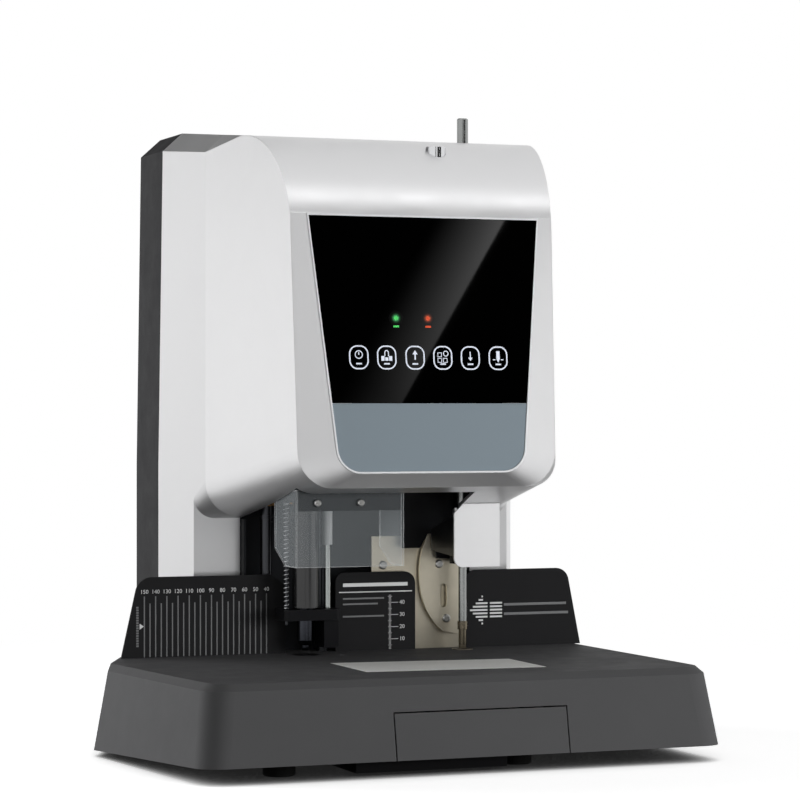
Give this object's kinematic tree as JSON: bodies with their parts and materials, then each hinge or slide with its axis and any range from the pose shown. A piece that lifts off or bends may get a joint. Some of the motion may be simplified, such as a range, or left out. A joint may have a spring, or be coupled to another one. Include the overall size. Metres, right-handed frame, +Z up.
{
  "type": "document riveting machine",
  "caption": "Electric bench machine that drills a stack of vouchers and binds it with a hot plastic tube rivet, with a base, column, hood, guides and touch panel.",
  "frame": {"origin": "middle of the overall footprint, on the surface that the rubber feet stand on", "axes": "+Z up, +Y to the back of the machine, +X to the right as seen by the person at the panel"},
  "size_m": [0.4575, 0.3764, 0.524],
  "materials": {
    "base_paint": "dark grey fine texture paint",
    "pan_paint": "black satin paint",
    "foot_rubber": "matt black rubber",
    "sheet_steel": "plain zinc plated sheet",
    "hood_silver": "silver metallic paint",
    "cover_paint": "dark grey fine texture paint",
    "screw_steel": "bright zinc",
    "frame_steel": "dark grey paint",
    "motor_black": "black satin paint",
    "dark_rod": "ground and blackened",
    "bright_rod": "hard chrome, polished",
    "screw_thread": "rolled thread, oiled",
    "carriage_alloy": "dark anodised",
    "bronze": "sintered bronze",
    "quill_black": "black, slightly glossy",
    "bearing_steel": "ground",
    "bush_grey": "light grey acetal",
    "pulley_alloy": "turned",
    "belt_rubber": "matt black",
    "spindle_steel": "turned",
    "bit_steel": "ground tool steel",
    "press_black": "black moulded",
    "spring_wire": "drawn wire",
    "punch_brass": "turned, darkened by heat",
    "heater_black": "black mica band",
    "cover_silver": "silver paint",
    "shroud_black": "black paint",
    "nickel_plate": "dull nickel plate",
    "guide_paint": "dark grey fine texture paint",
    "guard_clear": "clear polycarbonate",
    "panel_black": "black glossy glass",
    "panel_grey": "grey blue satin paint",
    "rim_white": "white gloss",
    "board_green": "green solder resist",
    "lamp_clear": "tinted clear",
    "chute_chrome": "polished",
    "cutter_alloy": "milled",
    "blade_steel": "ground",
    "supply_steel": "plain sheet",
    "socket_black": "black moulded",
    "rocker_black": "black moulded",
    "pad_black": "black nylon",
    "anvil_steel": "turned, darkened by heat"
  },
  "bodies": {
    "base": {"base_shell": "base_paint", "bottom_pan": "pan_paint", "rubber_feet": "foot_rubber", "drill_pad": "pad_black", "rivet_anvil": "anvil_steel", "drawer_runners": "sheet_steel", "front_shell": "hood_silver", "rear_cover": "cover_paint", "pan_head_screws": "screw_steel", "column_frame": "frame_steel", "motor_shelf": "frame_steel", "feed_motors": "motor_black", "drill_guide_rods": "dark_rod", "rivet_bridge": "frame_steel", "ram_bushes": "bronze", "rivet_guide_rods": "bright_rod", "rivet_cover": "cover_silver", "inner_shroud": "shroud_black", "rear_plate": "nickel_plate", "slotted_plate": "nickel_plate", "left_guide": "guide_paint", "centre_guide": "guide_paint", "right_guide": "guide_paint", "drill_guard": "guard_clear", "guard_bracket": "frame_steel", "panel_glass": "panel_black", "panel_band": "panel_grey", "panel_rim": "rim_white", "control_board": "board_green", "status_lamps": "lamp_clear", "tube_chute": "chute_chrome", "cutter_housing": "cutter_alloy", "power_supply": "supply_steel", "power_inlet": "socket_black", "switch_frame": "socket_black", "fuse_holder": "socket_black"},
    "drawer": {"drawer_front": "base_paint", "chip_drawer": "sheet_steel"},
    "drill_carriage": {"carriage_block": "carriage_alloy", "carriage_bushes": "bronze", "quill": "quill_black", "spindle_bearings": "bearing_steel", "foot_rod_bush": "bush_grey", "drill_motor": "motor_black", "drive_belt": "belt_rubber", "press_spring": "spring_wire"},
    "spindle": {"drill_spindle": "spindle_steel", "drill_bit": "bit_steel", "spindle_pulley": "pulley_alloy"},
    "motor_rotor": {"motor_pulley": "pulley_alloy"},
    "press_foot": {"press_foot": "press_black", "foot_rods": "bright_rod"},
    "drill_feed_screw": {"drill_feed_screw": "screw_thread"},
    "rivet_head": {"rivet_crosshead": "carriage_alloy", "rivet_ram": "bright_rod", "rivet_punch": "punch_brass", "punch_heater": "heater_black"},
    "rivet_feed_screw": {"rivet_feed_screw": "screw_thread"},
    "cutter": {"cutter_blade": "blade_steel"},
    "switch": {"switch_rocker": "rocker_black"}
  },
  "joints": [
    {"name": "drawer_slide", "type": "slide", "parent": "base", "child": "drawer", "axis": [0, -1, 0], "range_m": [0, 0.165]},
    {"name": "drill_lift", "type": "slide", "parent": "base", "child": "drill_carriage", "axis": [0, 0, 1], "range_m": [0, 0.055]},
    {"name": "spindle_turn", "type": "hinge", "parent": "drill_carriage", "child": "spindle", "pos_m": [-0.043, 0.046, 0.1], "axis": [0, 0, 1], "continuous": true},
    {"name": "motor_turn", "type": "hinge", "parent": "drill_carriage", "child": "motor_rotor", "pos_m": [0.016, 0.044, 0.25], "axis": [0, 0, 1], "continuous": true},
    {"name": "foot_slide", "type": "slide", "parent": "drill_carriage", "child": "press_foot", "axis": [0, 0, 1], "range_m": [0, 0.04], "stiffness_N_per_m": 300, "springref_m": -0.02, "deforming": ["press_spring"]},
    {"name": "drill_screw_turn", "type": "hinge", "parent": "base", "child": "drill_feed_screw", "pos_m": [-0.043, 0.074, 0.3], "axis": [0, 0, 1], "range_deg": [0, 1980]},
    {"name": "rivet_lift", "type": "slide", "parent": "base", "child": "rivet_head", "axis": [0, 0, 1], "range_m": [0, 0.055]},
    {"name": "rivet_screw_turn", "type": "hinge", "parent": "base", "child": "rivet_feed_screw", "pos_m": [0.098, 0.074, 0.3], "axis": [0, 0, 1], "range_deg": [0, 1980]},
    {"name": "cutter_slide", "type": "slide", "parent": "base", "child": "cutter", "axis": [-1, 0, 0], "range_m": [0, 0.0115]},
    {"name": "switch_rock", "type": "hinge", "parent": "base", "child": "switch", "pos_m": [-0.057, 0.182, 0.11], "axis": [-1, 0, 0], "range_deg": [0, 16]}
  ],
  "couplings": [
    {"joint": "drill_screw_turn", "follows": "drill_lift", "rad_per_m": 628.32},
    {"joint": "rivet_screw_turn", "follows": "rivet_lift", "rad_per_m": 628.32},
    {"joint": "motor_turn", "follows": "spindle_turn", "ratio": 1.2}
  ]
}
